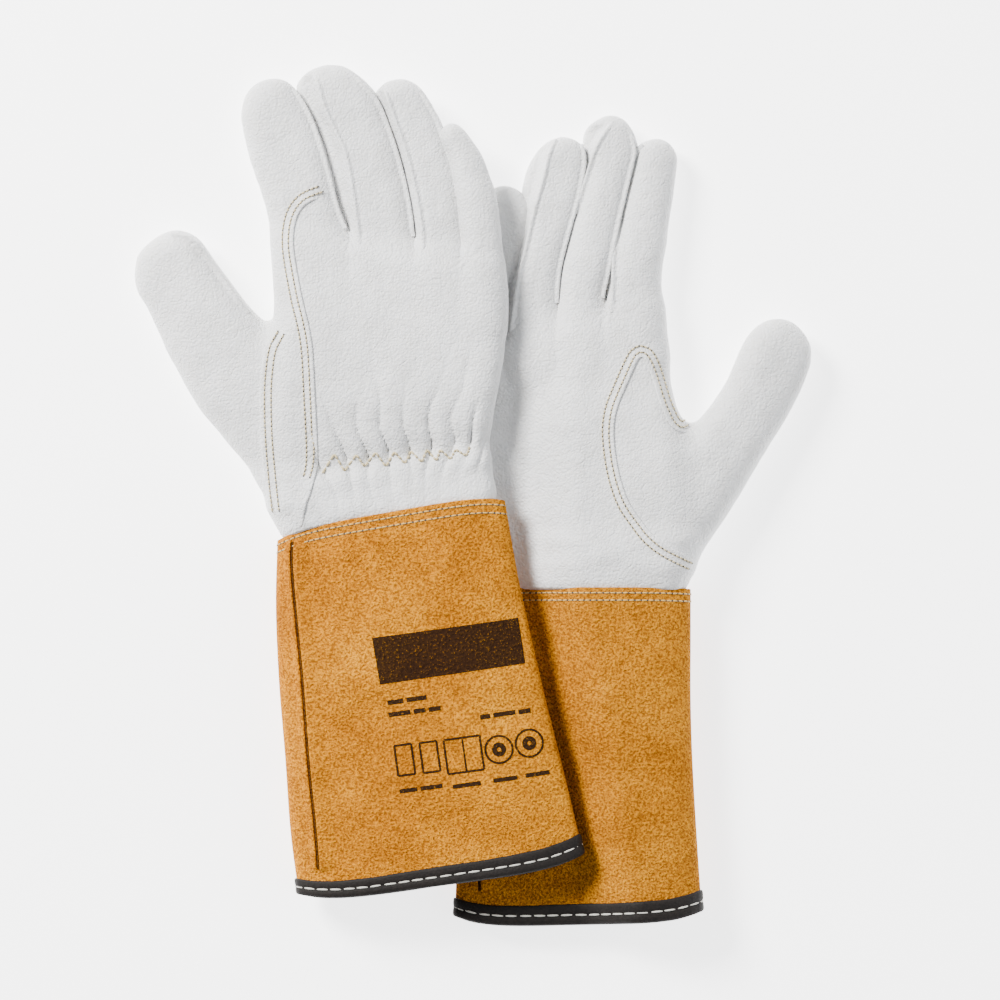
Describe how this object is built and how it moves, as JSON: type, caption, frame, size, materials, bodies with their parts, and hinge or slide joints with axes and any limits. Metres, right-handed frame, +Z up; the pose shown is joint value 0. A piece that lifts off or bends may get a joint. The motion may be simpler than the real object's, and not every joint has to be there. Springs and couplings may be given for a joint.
{
  "type": "welding gloves",
  "caption": "Pair of gauntlet welding gloves: grain leather hands, split leather cuffs, bound hems, sewn seams; one palm up beneath the other, laid flat.",
  "frame": {"origin": "middle of the pair's footprint, on the bench it lies on", "axes": "+Z up from the bench, +Y from the cuffs towards the fingertips, +X across the pair, towards the thumb of the glove that lies palm up"},
  "size_m": [0.2804, 0.3616, 0.0345],
  "materials": {
    "grain_leather": "fine pebbled grain, matt",
    "split_leather": "brushed suede",
    "binding_tape": "matt",
    "elastic": "woven",
    "thread_cream": "twisted aramid thread",
    "thread_tan": "twisted aramid thread",
    "thread_white": "twisted thread"
  },
  "bodies": {
    "lower_hand": {"lower_hand_back_panel": "grain_leather", "lower_hand_palm_panel": "grain_leather", "lower_wrist_elastic": "elastic", "lower_elastic_stitching": "thread_cream", "lower_index_seam_stitching": "thread_cream", "lower_thumb_seam_stitching": "thread_cream"},
    "lower_gauntlet": {"lower_wrist_back_panel": "grain_leather", "lower_wrist_palm_panel": "grain_leather", "lower_cuff_back_panel": "split_leather", "lower_cuff_palm_panel": "split_leather", "lower_cuff_seam_stitching": "thread_tan", "lower_hem_binding": "binding_tape", "lower_hem_stitching": "thread_white"},
    "lower_index": {"lower_index_wrap_panel": "grain_leather", "lower_index_middle_side_fourchette": "grain_leather"},
    "lower_middle": {"lower_middle_back_panel": "grain_leather", "lower_middle_palm_panel": "grain_leather", "lower_middle_index_side_fourchette": "grain_leather", "lower_middle_ring_side_fourchette": "grain_leather"},
    "lower_ring": {"lower_ring_back_panel": "grain_leather", "lower_ring_palm_panel": "grain_leather", "lower_ring_middle_side_fourchette": "grain_leather", "lower_ring_little_side_fourchette": "grain_leather"},
    "lower_little": {"lower_little_back_panel": "grain_leather", "lower_little_palm_panel": "grain_leather", "lower_little_ring_side_fourchette": "grain_leather"},
    "lower_thumb": {"lower_thumb_back_panel": "grain_leather", "lower_thumb_palm_panel": "grain_leather"},
    "upper_hand": {"upper_hand_back_panel": "grain_leather", "upper_hand_palm_panel": "grain_leather", "upper_wrist_elastic": "elastic", "upper_elastic_stitching": "thread_cream", "upper_index_seam_stitching": "thread_cream", "upper_thumb_seam_stitching": "thread_cream"},
    "upper_gauntlet": {"upper_wrist_back_panel": "grain_leather", "upper_wrist_palm_panel": "grain_leather", "upper_cuff_back_panel": "split_leather", "upper_cuff_palm_panel": "split_leather", "upper_cuff_seam_stitching": "thread_tan", "upper_hem_binding": "binding_tape", "upper_hem_stitching": "thread_white"},
    "upper_index": {"upper_index_wrap_panel": "grain_leather", "upper_index_middle_side_fourchette": "grain_leather"},
    "upper_middle": {"upper_middle_back_panel": "grain_leather", "upper_middle_palm_panel": "grain_leather", "upper_middle_index_side_fourchette": "grain_leather", "upper_middle_ring_side_fourchette": "grain_leather"},
    "upper_ring": {"upper_ring_back_panel": "grain_leather", "upper_ring_palm_panel": "grain_leather", "upper_ring_middle_side_fourchette": "grain_leather", "upper_ring_little_side_fourchette": "grain_leather"},
    "upper_little": {"upper_little_back_panel": "grain_leather", "upper_little_palm_panel": "grain_leather", "upper_little_ring_side_fourchette": "grain_leather"},
    "upper_thumb": {"upper_thumb_back_panel": "grain_leather", "upper_thumb_palm_panel": "grain_leather"}
  },
  "joints": [
    {"name": "upper_glove_lift", "type": "slide", "parent": "lower_hand", "child": "upper_hand", "axis": [0, 0, 1], "range_m": [0, 0.25]},
    {"name": "upper_index_bend", "type": "hinge", "parent": "upper_hand", "child": "upper_index", "pos_m": [-0.07045, 0.1019, 0], "axis": [-0.974, -0.2265, 0], "range_deg": [0, 70]},
    {"name": "upper_middle_bend", "type": "hinge", "parent": "upper_hand", "child": "upper_middle", "pos_m": [-0.03945, 0.0999, 0], "axis": [-0.9691, -0.2465, 0], "range_deg": [0, 70]},
    {"name": "upper_ring_bend", "type": "hinge", "parent": "upper_hand", "child": "upper_ring", "pos_m": [-0.01455, 0.0965, 0.0268], "axis": [0.9834, 0.1815, 0], "range_deg": [0, 30]},
    {"name": "upper_little_bend", "type": "hinge", "parent": "upper_hand", "child": "upper_little", "pos_m": [0.00425, 0.0948, 0.0284], "axis": [0.9789, 0.2042, 0], "range_deg": [0, 30]},
    {"name": "lower_index_bend", "type": "hinge", "parent": "lower_hand", "child": "lower_index", "pos_m": [0.06795, 0.0758, 0.02], "axis": [0.9934, -0.1146, 0], "range_deg": [0, 70]},
    {"name": "lower_middle_bend", "type": "hinge", "parent": "lower_hand", "child": "lower_middle", "pos_m": [0.04545, 0.0731, 0.0194], "axis": [0.9902, -0.1396, 0], "range_deg": [0, 70]},
    {"name": "lower_ring_bend", "type": "hinge", "parent": "lower_hand", "child": "lower_ring", "pos_m": [0.02405, 0.0705, 0.0184], "axis": [0.9874, -0.1585, 0], "range_deg": [0, 70]},
    {"name": "lower_little_bend", "type": "hinge", "parent": "lower_hand", "child": "lower_little", "pos_m": [0.00225, 0.0678, 0], "axis": [-0.9873, 0.1586, 0], "range_deg": [0, 30]},
    {"name": "upper_thumb_bend", "type": "hinge", "parent": "upper_hand", "child": "upper_thumb", "pos_m": [-0.08975, 0.0309, 0], "axis": [0, -1, 0], "range_deg": [0, 50]},
    {"name": "lower_thumb_bend", "type": "hinge", "parent": "lower_hand", "child": "lower_thumb", "pos_m": [0.08825, 0.0034, 0.0262], "axis": [0.1284, -0.9917, 0], "range_deg": [0, 50]},
    {"name": "upper_wrist_bend", "type": "hinge", "parent": "upper_hand", "child": "upper_gauntlet", "pos_m": [-0.0406, 0.01205, 0.0296], "axis": [-0.9887, -0.1496, 0], "range_deg": [0, 25]},
    {"name": "lower_wrist_bend", "type": "hinge", "parent": "lower_hand", "child": "lower_gauntlet", "pos_m": [0.0425, -0.0144, 0], "axis": [1, 0, 0], "range_deg": [0, 25]}
  ]
}
